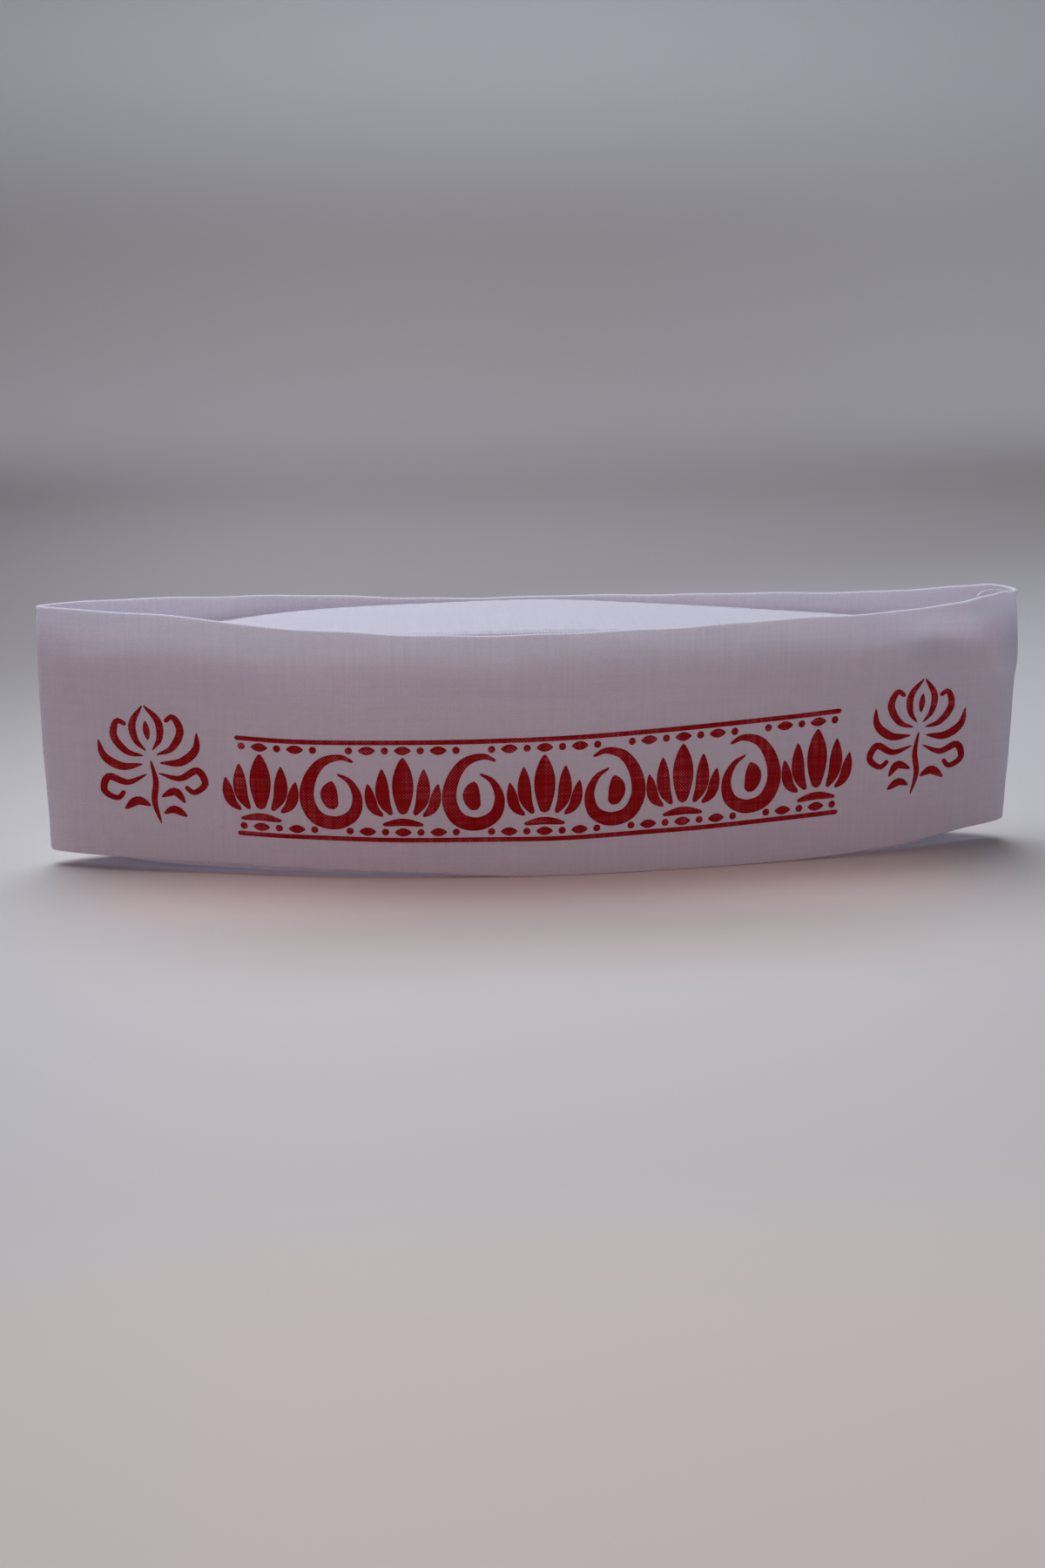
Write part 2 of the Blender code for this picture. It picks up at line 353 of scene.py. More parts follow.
def rim_wave(turn, up):
    """The rim isn't dead level: a small uneven rise and fall that fades out down the wall."""
    x = -np.cos(2.0 * np.pi * turn) * HALF_LENGTH
    wave = np.where(is_near(turn), 0.0, np.sin(x / RIM_WAVE_FAR))
    for length, phase, share in RIM_WAVES:
        wave = wave + share * np.sin(x / length + phase)
    return RIM_WAVE * wave * smooth((up - RIM_WAVE_FROM) / (1.0 - RIM_WAVE_FROM))


def point_swell(x, up):
    """The points' folds aren't straight: they swell out between rim and foot."""
    right = RIGHT_POINT_SWELL * smooth((1.0 - up) / RIGHT_SWELL_RIM_FADE) * smooth(up / RIGHT_SWELL_FOOT_FADE)
    left = -LEFT_POINT_SWELL * np.sin(np.pi * np.clip(up, 0.0, 1.0))
    close = np.exp(-(((HALF_LENGTH - np.abs(x)) / POINT_SWELL_LONG) ** 2))
    return np.where(x > 0.0, right, left) * close


def band_thickness(drop):
    """The cloth's thickness at a distance below the rim."""
    fold = RIM_FOLD * np.exp(-((drop / RIM_FOLD_TALL) ** 2))
    return BAND_CLOTH + fold - RIM_PRESS * np.exp(-(((drop - RIM_PRESS_DOWN) / RIM_PRESS_TALL) ** 2))


def band_surface(turn, up, across):
    """Points of the band: across the cloth from -1, inside, to 1, outside."""
    middle = band_middle(turn, up)
    low, high = band_ends(turn)
    drop = (high - low) * (1.0 - up)
    out = band_thickness(drop) / 2 * across + relief(turn, middle, up)
    point = middle + outward(band_middle, turn, up) * out[..., None]
    point[..., 0] += point_swell(middle[..., 0], up)
    point[..., 2] += rim_wave(turn, up)
    return point


def walked(line):
    """The distance walked along a line of points, from its first."""
    steps = np.linalg.norm(np.diff(line, axis=0), axis=1)
    return np.concatenate(([0.0], np.cumsum(steps)))


def built(name, points, faces, places, slot="band_cloth"):
    """An object from points and faces, with each point's place on its cloth, riding on the cap's body."""
    data = bpy.data.meshes.new(name)
    data.from_pydata([tuple(p) for p in points], [], faces)
    data.validate()
    data.shade_smooth()
    attribute = data.attributes.new(PLACE, "FLOAT_VECTOR", "POINT")
    attribute.data.foreach_set("vector", np.asarray(places, np.float32).ravel())
    piece = bpy.data.objects.new(name, data)
    bpy.context.scene.collection.objects.link(piece)
    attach(piece, "root")
    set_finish(piece, slot)
    return piece


def ring_faces(columns, ring, closed):
    """Faces between columns of points, each a closed ring. closed joins the last column to the first."""
    faces = []
    for column in range(columns if closed else columns - 1):
        here, there = column * ring, (column + 1) % columns * ring
        for k in range(ring):
            after = (k + 1) % ring
            faces.append((here + k, there + k, there + after, here + after))
    return faces


def capped_faces(columns, ring, first=0):
    """An open row of rings with both ends capped, its points numbered from first."""
    faces = ring_faces(columns, ring, False)
    faces.append(tuple(range(ring)))
    faces.append(tuple((columns - 1) * ring + k for k in reversed(range(ring))))
    return [tuple(first + k for k in face) for face in faces]


def folded_profile(tall, share, cloth):
    """A wall's closed section, from the outside of its foot over its rim and back: heights, places across."""
    half = cloth / 2
    wall = half + (tall[:, None] - cloth) * share
    turn = np.linspace(0.0, np.pi, FOLD_STEPS + 2)[1:-1]
    over = tall[:, None] - half + half * np.sin(turn)
    under = np.broadcast_to(half - half * np.sin(turn), over.shape)
    heights = np.concatenate([wall, over, wall[:, ::-1], under], axis=1)
    ones = np.ones(len(share))
    across = np.concatenate([ones, np.cos(turn), -ones, -np.cos(turn)])
    return heights, across


def make_band():
    turns = np.arange(BAND_COLUMNS) / BAND_COLUMNS
    low, high = band_ends(turns)
    tall = high - low
    share = np.interp(np.linspace(0.0, 1.0, BAND_ROWS + 1), ROW_SHARES, ROW_HEIGHTS)
    heights, across = folded_profile(tall, share, BAND_CLOTH)
    turn = np.broadcast_to(turns[:, None], heights.shape)
    points = band_surface(turn, heights / tall[:, None], np.broadcast_to(across, heights.shape))
    along = np.broadcast_to(band_along(turns)[:, None], heights.shape)
    places = np.stack([along, points[..., 2], tall[:, None] - heights], axis=-1)
    faces = ring_faces(BAND_COLUMNS, len(across), True)
    band = built("band", points.reshape(-1, 3), faces, places.reshape(-1, 3))
    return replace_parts(band, "band")


def band_along(turns):
    """Distance along the band's cloth from the left point, near side first."""
    fine = np.linspace(0.0, 1.0, ALONG_STEPS)
    line = band_middle(fine, np.full_like(fine, 0.5))
    return np.interp(np.mod(turns, 1.0), fine, walked(line))


def side_foot(turn, at):
    """The height of the side wall's foot: level with the band's, or below it where the near one is lifted."""
    lifted = by_side(turn, lambda side: foot_height(side, at))
    inside = smooth((SIDE_SHOWS_END - np.abs(at)) / SIDE_SHOWS_FADE)
    return lifted - SIDE_SHOWS * smooth(lifted / SIDE_SHOWS_LIFT) * inside * is_near(turn)


def side_middle(turn, up):
    """Points on the middle of the side wall's cloth. Its foot leans out to the band, where they are sewn."""
    tip_share = -np.cos(2.0 * np.pi * turn)
    x = (HALF_LENGTH - SIDE_TIP_ROOM) * tip_share
    at = x / HALF_LENGTH
    low = side_foot(turn, at)
    high = seam_height(at)
    wide = by_side(turn, lambda side: side_half_width(side, x))
    lean = SIDE_LEAN * smooth(above_hem(up * (high - low), high - low)) * oval(tip_share)
    spread = CLEARANCE * (1.0 - smooth(up * (high - low) / FOOT_SPREAD)) * oval(tip_share)
    wide = np.maximum(wide - lean + spread, 0.0)
    way = np.where(is_near(turn), -1.0, 1.0)
    return np.stack([x, way * wide, low + (high - low) * up], axis=-1)


def make_side_wall():
    turns = (np.arange(SIDE_COLUMNS) + 0.5) / SIDE_COLUMNS
    at = -np.cos(2.0 * np.pi * turns) * (HALF_LENGTH - SIDE_TIP_ROOM) / HALF_LENGTH
    tall = seam_height(at) - side_foot(turns, at)
    heights, across = folded_profile(tall, np.linspace(0.0, 1.0, SIDE_ROWS + 1), SIDE_CLOTH)
    turn = np.broadcast_to(turns[:, None], heights.shape)
    up = heights / tall[:, None]
    middle = side_middle(turn, up)
    points = middle + outward(side_middle, turn, up) * (SIDE_CLOTH / 2 * across)[None, :, None]
    line = side_middle(turns, np.full_like(turns, 0.5))
    along = np.broadcast_to(walked(line)[:, None], heights.shape)
    places = np.stack([along, points[..., 2], tall[:, None] - heights], axis=-1)
    faces = ring_faces(SIDE_COLUMNS, len(across), True)
    wall = built("side_wall", points.reshape(-1, 3), faces, places.reshape(-1, 3), "side_cloth")
    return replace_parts(wall, "side_wall")


def crown_outline(tip_share):
    """Place along the cap, and the crown's near and far half widths there."""
    x = (HALF_LENGTH - SIDE_TIP_ROOM) * tip_share
    lean = SIDE_LEAN * oval(tip_share)
    cover = (SIDE_CLOTH / 2 + CROWN_REACH) * oval(tip_share)
    near, far = (side_half_width(side, x) - lean + cover for side in (NEAR, FAR))
    return x, near, far


def crown_relief(x, in_from_edge):
    """How far the crown's cloth stands up: welt, furrow and puckers at the seam, and a slow wave inside."""

    def ridge(high, inward, wide):
        return high * np.exp(-(((in_from_edge - inward) / wide) ** 2))

    puckers = np.sin(2.0 * np.pi * x / PUCKER_LONG + PUCKER_DRIFT * np.sin(x / PUCKER_DRIFT_LONG))
    seam = ridge(WELT_HIGH, WELT_IN, WELT_WIDE) - ridge(FURROW_DEEP, FURROW_IN, FURROW_WIDE)
    slow = CROWN_WAVE * np.sin(x / CROWN_WAVE_LONG + 0.7) * smooth(in_from_edge / CROWN_WAVE_IN)
    return seam + ridge(PUCKER_HIGH, PUCKER_IN, PUCKER_WIDE) * puckers + slow


def make_crown():
    """The pointed panel across the top, on the side wall's upper edge and swelling a little above it."""
    columns = -np.cos(np.pi * (np.arange(CROWN_COLUMNS) + 0.5) / CROWN_COLUMNS)
    strips = -np.cos(np.pi * np.arange(CROWN_STRIPS + 1) / CROWN_STRIPS)
    x, near, far = crown_outline(columns)
    tip_share, across = np.meshgrid(columns, strips, indexing="ij")
    wide = np.where(across < 0.0, near[:, None], far[:, None])
    y = across * wide
    seam = seam_height(x / HALF_LENGTH)[:, None] + CLEARANCE
    swell = CROWN_SWELL * (1.0 - across**2) * (1.0 - tip_share**2)
    in_from_edge = wide * (1.0 - np.abs(across))
    long = np.broadcast_to(x[:, None], y.shape)
    lift = crown_relief(long, in_from_edge) * smooth(wide / CROWN_TIP_WIDE)
    top = np.stack([long, y, seam + CROWN_CLOTH + swell + lift], axis=-1)
    bottom = np.stack([long, y, seam + swell + lift * 0.5], axis=-1)
    rolled = np.clip(1.0 - in_from_edge / CROWN_EDGE_ROLL, 0.0, 1.0) ** 2 * CROWN_EDGE_DROP
    rounded = (1.0 - smooth(in_from_edge / (CROWN_CLOTH / 2))) * CROWN_CLOTH * CROWN_EDGE_ROUND
    top[..., 2] -= rolled + rounded
    bottom[..., 2] -= rolled - rounded
    points = np.concatenate([top, bottom[:, ::-1]], axis=1)
    places = np.stack([points[..., 0], points[..., 1], np.full(points.shape[:2], 1.0)], axis=-1)
    faces = capped_faces(CROWN_COLUMNS, points.shape[1])
    crown = built("crown", points.reshape(-1, 3), faces, places.reshape(-1, 3), "crown_cloth")
    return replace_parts(crown, "crown")


# The seam allowance of the band's end seam, which stands up inside the right point: top edge (x, y, z)
END_FLAP_EDGE = (
    (0.1286, -0.0030, 0.0747),
    (0.1312, 0.0004, 0.0754),
    (0.1340, 0.0016, 0.0757),
    (0.1366, 0.0014, 0.0757),
    (0.1394, 0.0002, 0.0752),
)
END_FLAP_DEEP = 0.0105
END_FLAP_CLOTH = 0.0005
END_FLAP_COLUMNS = 24
END_FLAP_ROWS = 8
END_FLAP_GROWS = (0.25, 1.4)  # its depth grows softly along it
END_FLAP_DOWN = 0.002  # for its colour, it is taken to be this far below a rim, in the lighter strip above the painted shade


def make_end_flap():
    edge = spline_through(END_FLAP_EDGE, END_FLAP_COLUMNS)
    deep = END_FLAP_DEEP * smooth(np.linspace(*END_FLAP_GROWS, END_FLAP_COLUMNS))
    share = np.linspace(0.0, 1.0, END_FLAP_ROWS + 1)
    tangent = np.gradient(edge, axis=0)
    normal = np.stack([-tangent[:, 1], tangent[:, 0], np.zeros(END_FLAP_COLUMNS)], axis=-1)
    normal /= np.linalg.norm(normal, axis=1, keepdims=True)
    middle = edge[:, None, :] - share[None, :, None] * deep[:, None, None] * np.array((0.0, 0.0, 1.0))
    half = normal[:, None, :] * END_FLAP_CLOTH / 2
    points = np.concatenate([middle - half, (middle + half)[:, ::-1]], axis=1)
    along = np.broadcast_to(walked(edge)[:, None], points.shape[:2])
    places = np.stack([along, points[..., 2], np.full(points.shape[:2], END_FLAP_DOWN)], axis=-1)
    faces = capped_faces(END_FLAP_COLUMNS, points.shape[1])
    return built("end_seam_flap", points.reshape(-1, 3), faces, places.reshape(-1, 3))


def spline_through(points, count):
    """A smooth line of count points through the given ones."""
    points = np.array(points, float)
    ends = np.concatenate([[2 * points[0] - points[1]], points, [2 * points[-1] - points[-2]]])
    at = np.linspace(0.0, len(points) - 1.0, count)
    i = np.minimum(at.astype(int), len(points) - 2)
    t = (at - i)[:, None]
    a, b, c, d = ends[i], ends[i + 1], ends[i + 2], ends[i + 3]
    return 0.5 * (2 * b + (c - a) * t + (2 * a - 5 * b + 4 * c - d) * t**2 + (3 * b - a - 3 * c + d) * t**3)


# The print. Each stroke is a line through points in millimetres, as wide as wide at its fullest and, at its
# ends, as the shares start and end of that.
Stroke = namedtuple("Stroke", "points wide start end", defaults=(0.1, 0.1))
MM = 1.0e-3
INK_ABOVE = 0.00008  # the ink's top above the cloth
INK_BELOW = 0.00010  # its underside, sunk in the cloth
INK_STEP_MM = 0.7
INK_LEAST_STEPS = 9
INK_ACROSS = 5
SPLINE_STEPS = 80
BODY_POWER = 0.8  # below 1, a stroke fills out sooner from its ends
END_RADIUS_MM = 0.15  # the least radius of a stroke's end
HALF_WIDTH_MM = 0.02  # and its least half width

LOTUS = (
    Stroke(((0.0, -6.8), (0.0, 1.4), (0.0, 10.2)), 6.0, 0.3, 0.05),
    Stroke(((3.2, -7.0), (5.5, -2.0), (5.9, 6.8)), 3.9, 0.2, 0.05),
    Stroke(((5.6, -7.4), (8.5, -4.4), (9.9, 2.4)), 3.2, 0.2, 0.05),
    Stroke(((-5.8, -10.0), (0.0, -9.1), (5.8, -10.0)), 2.3, 0.3, 0.3),
)
PAISLEY = (
    Stroke(
        (
            (6.2, 8.8), (2.4, 10.2), (-2.6, 8.5), (-6.0, 3.4), (-6.9, -3.0), (-4.2, -8.4),
            (1.2, -9.8), (5.9, -7.2), (7.2, -2.0), (5.2, 2.8), (1.6, 5.2),
        ),
        4.3, 0.15, 0.1,
    ),
    Stroke(((0.1, 3.0), (-0.7, -1.4), (0.7, -5.6)), 4.9, 0.1, 0.5),
)
CURLED_SPRAY = (
    Stroke(((-0.2, 17.4), (-3.6, 12.6), (-3.4, 7.6), (-0.9, 4.2)), 2.1),
    Stroke(((0.2, 17.4), (3.6, 12.6), (3.4, 7.6), (0.9, 4.2)), 2.1),
    Stroke(((0.0, 13.0), (0.1, 7.2)), 1.9),
    Stroke(((-1.8, 2.8), (-6.4, 4.4), (-9.4, 9.0), (-8.0, 13.4), (-5.4, 12.2)), 2.2, 0.1, 0.5),
    Stroke(((1.8, 2.8), (6.4, 4.4), (9.4, 9.0), (8.0, 13.4), (5.4, 12.2)), 2.2, 0.1, 0.5),
    Stroke(((-2.4, 0.4), (-8.4, 0.2), (-13.0, 3.4), (-14.0, 8.4)), 2.5),
    Stroke(((2.4, 0.4), (8.4, 0.2), (13.0, 3.4), (14.0, 8.4)), 2.5),
    Stroke(
        ((-1.6, -2.6), (-7.4, -4.6), (-12.6, -2.6), (-14.4, -6.6), (-11.0, -9.0), (-8.6, -7.0)),
        2.1, 0.1, 0.6,
    ),
    Stroke(
        ((1.6, -2.6), (7.4, -4.6), (12.6, -2.6), (14.4, -6.6), (11.0, -9.0), (8.6, -7.0)),
        2.1, 0.1, 0.6,
    ),
    Stroke(((0.0, 1.4), (0.5, -5.0), (-0.7, -11.0), (0.4, -17.6)), 1.8, 0.2, 0.1),
    Stroke(((-1.8, -12.0), (-5.4, -10.2), (-9.4, -12.4)), 2.6),
    Stroke(((1.4, -9.6), (5.6, -8.4), (8.0, -12.0)), 2.4),
    Stroke(((1.4, -14.6), (4.6, -13.6), (8.0, -16.0)), 2.4),
)


def dot(x, y, size):
    """A round dot, as the shortest of strokes."""
    return Stroke(((x - size / 2, y), (x + size / 2, y)), size, 1.0, 1.0)


def grain(x, y, long, wide):
    return Stroke(((x - long / 2, y), (x, y), (x + long / 2, y)), wide, 0.05, 0.05)


def mirrored(strokes):
    return tuple(s._replace(points=tuple((-x, y) for x, y in s.points)) for s in strokes)


def shifted(strokes, across, up):
    return [s._replace(points=tuple((x + across, y + up) for x, y in s.points)) for s in strokes]


def tilted(strokes, angle):
    c, s = math.cos(angle), math.sin(angle)
    return [k._replace(points=tuple((c * x - s * y, s * x + c * y) for x, y in k.points)) for k in strokes]


BORDER_PITCH_MM = 19.9
BORDER_SIDE_MOTIFS = 4
BORDER_EDGE_MM = 12.2
BORDER_LINE_MM = 14.6
BORDER_LINE_WIDE_MM = 1.4
BORDER_LINE_HALF_MM = 86.5
BORDER_DOT_MM = 2.1
BORDER_GRAIN_MM = (4.8, 2.6)
BORDER_MIDDLE_MM = 26.2  # its height at x = 0, from where it slants up to the right and bows up at both ends
BORDER_SLANT = 0.016
BORDER_BOW = 0.00027
BORDER_GROWS = 0.0004
LEFT_SPRAY_MM = (-110.2, 32.0)
LEFT_SPRAY_TILT = 0.10
RIGHT_SPRAY_MM = (110.4, 35.4)
RIGHT_SPRAY_TILT = -0.06


def border_strokes():
    """A row of lotuses and paisleys that face the middle, between two rows of dots and grains."""
    lotus = LOTUS + mirrored(LOTUS[1:3])
    strokes = []
    for k in range(-BORDER_SIDE_MOTIFS, BORDER_SIDE_MOTIFS + 1):
        motif = lotus if k % 2 == 0 else (PAISLEY if k < 0 else mirrored(PAISLEY))
        strokes += shifted(motif, k * BORDER_PITCH_MM, 0.0)
    quarter = BORDER_PITCH_MM / 4
    for k in range(-4 * BORDER_SIDE_MOTIFS - 1, 4 * BORDER_SIDE_MOTIFS + 2):
        if k % 8 == 4:
            continue  # the paisleys fill the height there
        for edge in (-BORDER_EDGE_MM, BORDER_EDGE_MM):
            x = k * quarter
            strokes.append(dot(x, edge, BORDER_DOT_MM) if k % 2 else grain(x, edge, *BORDER_GRAIN_MM))
    for edge in (-BORDER_LINE_MM, BORDER_LINE_MM):
        ends = [(-BORDER_LINE_HALF_MM, edge), (0.0, edge), (BORDER_LINE_HALF_MM, edge)]
        strokes.append(Stroke(ends, BORDER_LINE_WIDE_MM, 1.0, 1.0))
    return strokes


def stroke_outline(stroke):
    """A stroke's middle line, its sideways direction and its half width, all in millimetres."""
    rough = spline_through(stroke.points, SPLINE_STEPS)
    walk = walked(rough)
    length = walk[-1]
    count = max(INK_LEAST_STEPS, int(round(length / INK_STEP_MM)) + 1)
    steps = np.linspace(0.0, 1.0, count)
    along = 0.5 * steps + 0.25 * (1.0 - np.cos(np.pi * steps))  # closer together at the ends
    line = np.stack([np.interp(along, walk / length, rough[:, k]) for k in (0, 1)], axis=-1)
    tangent = np.gradient(line, axis=0)
    tangent /= np.linalg.norm(tangent, axis=1, keepdims=True)
    sideways = np.stack([-tangent[:, 1], tangent[:, 0]], axis=-1)
    ends = stroke.start + (stroke.end - stroke.start) * along
    half = stroke.wide / 2 * (ends + (1.0 - ends) * np.sin(np.pi * along) ** BODY_POWER)
    for share, from_end in ((stroke.start, along * length), (stroke.end, (1.0 - along) * length)):
        radius = max(stroke.wide / 2 * share, END_RADIUS_MM)
        near_end = np.clip(1.0 - from_end / radius, 0.0, 1.0)
        half = half * np.sqrt(1.0 - near_end**2)
    return line, sideways, np.maximum(half, HALF_WIDTH_MM)


def on_near_wall(x, z, out):
    """Points on the outside of the near wall at x and z, raised by out, with their places on the cloth."""
    at = np.clip(x / HALF_LENGTH, -1.0, 1.0)
    turn = np.arccos(-at) / (2.0 * np.pi)
    low, high = band_ends(turn)
    up = np.clip((z - low) / (high - low), 0.0, 1.0)
    raised = 1.0 + out / (band_thickness((high - low) * (1.0 - up)) / 2)
    points = band_surface(turn, up, raised)
    places = np.stack([band_along(turn), points[..., 2], (high - low) * (1.0 - up)], axis=-1)
    return points, places


def make_print(name, strokes, lay):
    """One object of thin printed strokes. lay(x, y) puts a drawing's millimetres at x and z on the wall."""
    points, places, faces = [], [], []
    across = np.linspace(-1.0, 1.0, INK_ACROSS)
    out = np.concatenate([np.full(INK_ACROSS, INK_ABOVE), np.full(INK_ACROSS, -INK_BELOW)])
    out[[0, INK_ACROSS - 1]] = INK_ABOVE / 2
    for stroke in strokes:
        line, sideways, half = stroke_outline(stroke)
        spread = np.concatenate([across, across[::-1]])
        flat = line[:, None, :] + sideways[:, None, :] * half[:, None, None] * spread[None, :, None]
        x, z = lay(flat[..., 0], flat[..., 1])
        made, placed = on_near_wall(x, z, np.broadcast_to(out, x.shape))
        faces += capped_faces(len(line), len(spread), len(points))
        points.extend(made.reshape(-1, 3))
        places.extend(placed.reshape(-1, 3))
    piece = built(name, points, faces, places, "border_ink")
    mesh = bmesh.new()
    mesh.from_mesh(piece.data)
    bmesh.ops.recalc_face_normals(mesh, faces=mesh.faces[:])
    mesh.to_mesh(piece.data)
    mesh.free()
    return piece


def border_lay(x, y):
    """The border lies on a line that dips in the middle and rises to the right, where it is taller."""
    middle = BORDER_MIDDLE_MM + BORDER_SLANT * x + BORDER_BOW * x**2
    return x * MM, (middle + y * (1.0 + BORDER_GROWS * x)) * MM


def spray_lay(middle):
    def lay(x, y):
        return (x + middle[0]) * MM, (y + middle[1]) * MM

    return lay


def make_prints():
    left, right = tilted(CURLED_SPRAY, LEFT_SPRAY_TILT), tilted(mirrored(CURLED_SPRAY), RIGHT_SPRAY_TILT)
    return [
        make_print("printed_border", border_strokes(), border_lay),
        make_print("printed_spray_left", left, spray_lay(LEFT_SPRAY_MM)),
        make_print("printed_spray_right", right, spray_lay(RIGHT_SPRAY_MM)),
    ]


# Colours, as linear values
CLOTH_WHITE = (0.945, 0.925, 0.980, 1.0)
CLOTH_SHADE = (0.83, 0.805, 0.885, 1.0)
RIM_STRIP_SHADE_TINT = (0.93, 0.88, 0.90, 1.0)  # painted shade below a lighter strip along the rim, which stands in for light shining through the cloth there
SHEEN_TINT = (0.92, 0.94, 1.0, 1.0)
INK_RED = (0.265, 0.0015, 0.003, 1.0)
INK_THIN = (0.52, 0.10, 0.12, 1.0)

# The threads. A stretch is the noise's grains per metre along the cloth and up it
SLUB_ALONG = (40.0, 1100.0, 0.0)  # thick and thin stretches of the threads that run along the cloth
SLUB_UP = (1100.0, 40.0, 0.0)  # and of those that run up it
WANDER_STRETCH = (160.0, 160.0, 0.0)
WANDER = 1.6  # how far the threads stray from side to side, in threads
CLOTH_UNEVEN = 0.9
INK_UNEVEN = 1.5
CLOTH_RELIEF = 0.00010  # how high the threads' bump stands
INK_RELIEF = 0.00005
SLUB_ROUGH = 0.12
INK_BARE = (0.58, 0.95)  # the ink thins where the weave stands this high
INK_BARE_LEAST = 0.25  # by this share everywhere
INK_BARE_PATCHY = 0.5  # and by up to this much more in patches

# Soft patches: grains per metre, and the noise that they run between
CLOTH_PATCHES = 28.0
INK_PATCHES = 60.0
PATCH_NOISE = (0.32, 0.68)
PATCH_SHADE = 0.10
# Painted shade below a lighter strip along the band's rim: its depths, its grain and how uneven its upper edge
# is
RIM_STRIP_SHADE_DOWN = (0.0035, 0.0150)  # below the rim the painted shade begins here, and is full here
RIM_STRIP_SHADE_STRETCH = (22.0, 22.0, 0.0)
RIM_STRIP_SHADE_UNEVEN = 0.006


def node(tree, kind, inputs=(), **settings):
    made = tree.nodes.new("ShaderNode" + kind)
    for name, value in settings.items():
        setattr(made, name, value)
    for socket, value in dict(inputs).items():
        if isinstance(value, bpy.types.NodeSocket):
            tree.links.new(value, made.inputs[socket])
        else:
            made.inputs[socket].default_value = value
    return made


def maths(tree, operation, first, second=0.0, third=0.0, clamp=False):
    inputs = {0: first, 1: second, 2: third}
    return node(tree, "Math", inputs, operation=operation, use_clamp=clamp).outputs[0]


def times(tree, first, second):
    return maths(tree, "MULTIPLY", first, second)


def ranged(tree, value, low, high):
    """value from low..high to 0..1, softly at both ends. low may be the greater of the two."""
    inputs = {"Value": value, "From Min": low, "From Max": high, "To Min": 0.0, "To Max": 1.0}
    return node(tree, "MapRange", inputs, interpolation_type="SMOOTHSTEP").outputs["Result"]


def mixed(tree, factor, first, second, blend_type="MIX"):
    inputs = {0: factor, 6: first, 7: second}
    return node(tree, "Mix", inputs, data_type="RGBA", blend_type=blend_type).outputs[2]


def new_group(name, inputs, outputs):
    """An empty node group with the given sockets, and its input and output nodes."""
    tree = bpy.data.node_groups.new(name, "ShaderNodeTree")
    for socket, kind, value in inputs:
        made = tree.interface.new_socket(socket, in_out="INPUT", socket_type="NodeSocket" + kind)
        if value is not None:
            made.default_value = value
    for socket, kind in outputs:
        tree.interface.new_socket(socket, in_out="OUTPUT", socket_type="NodeSocket" + kind)
    return tree, tree.nodes.new("NodeGroupInput"), tree.nodes.new("NodeGroupOutput")


def noise_at(tree, place, stretch, detail):
    """Noise over the cloth, with its grains stretched along it or up it."""
    scaled = node(tree, "VectorMath", {0: place, 1: stretch}, operation="MULTIPLY").outputs[0]
    return node(tree, "TexNoise", {"Vector": scaled, "Scale": 1.0, "Detail": detail}).outputs["Fac"]


def weave_group():
    """Plain weave: threads over and under, not quite even. Weave, Height and Slub run from 0 to 1."""
    tree, given, out = new_group(
        "Plain weave",
        [("Place", "Vector", None), ("Thread", "Float", BAND_THREAD), ("Unevenness", "Float", CLOTH_UNEVEN)],
        [("Weave", "Float"), ("Height", "Float"), ("Slub", "Float")],
    )
    place = given.outputs["Place"]
    flat = node(tree, "SeparateXYZ", {0: place})
    slub = maths(tree, "ADD", noise_at(tree, place, SLUB_ALONG, 4.0), noise_at(tree, place, SLUB_UP, 4.0))
    wander = maths(tree, "SUBTRACT", noise_at(tree, place, WANDER_STRETCH, 1.0), 0.5)
    wander = times(tree, wander, WANDER)
    waves = []
    for axis in ("X", "Y"):
        threads = maths(tree, "DIVIDE", flat.outputs[axis], given.outputs["Thread"])
        angle = times(tree, maths(tree, "ADD", threads, wander), math.pi)
        waves.append(maths(tree, "SINE", angle))
    height = maths(tree, "MULTIPLY_ADD", times(tree, *waves), 0.5, 0.5)
    uneven = times(tree, maths(tree, "SUBTRACT", slub, 1.0), given.outputs["Unevenness"])
    weave = maths(tree, "ADD", height, uneven, clamp=True)
    for socket, value in (("Weave", weave), ("Height", height), ("Slub", times(tree, slub, 0.5))):
        tree.links.new(value, out.inputs[socket])
    return tree


def starch_group():
    """Soft uneven patches, as starched and ironed cloth has. Patch runs from 0 to 1."""
    tree, given, out = new_group(
        "Starched patches",
        [("Place", "Vector", None), ("Scale", "Float", CLOTH_PATCHES)],
        [("Patch", "Float")],
    )
    inputs = {"Vector": given.outputs["Place"], "Scale": given.outputs["Scale"], "Detail": 3.0}
    noise = node(tree, "TexNoise", inputs).outputs["Fac"]
    tree.links.new(ranged(tree, noise, *PATCH_NOISE), out.inputs["Patch"])
    return tree


# The last field says whether the cloth gets painted shade below a lighter strip along its rim
Cloth = namedtuple("Cloth", "thread contrast roughness sheen through doubled")
CLOTHS = {
    "band_cloth": Cloth(BAND_THREAD, 1.0, 0.72, 0.18, 0.35, True),
    "side_cloth": Cloth(BAND_THREAD, 1.0, 0.78, 0.12, 0.60, False),
    "crown_cloth": Cloth(CROWN_THREAD, 0.9, 0.70, 0.20, 0.45, False),
}


def new_material(name):
    """A material, its empty node tree, and the socket with the points' places on the cloth."""
    material = bpy.data.materials.new(name)
    material.use_nodes = True
    tree = material.node_tree
    tree.nodes.clear()
    return material, tree, node(tree, "Attribute", attribute_name=PLACE).outputs["Vector"]


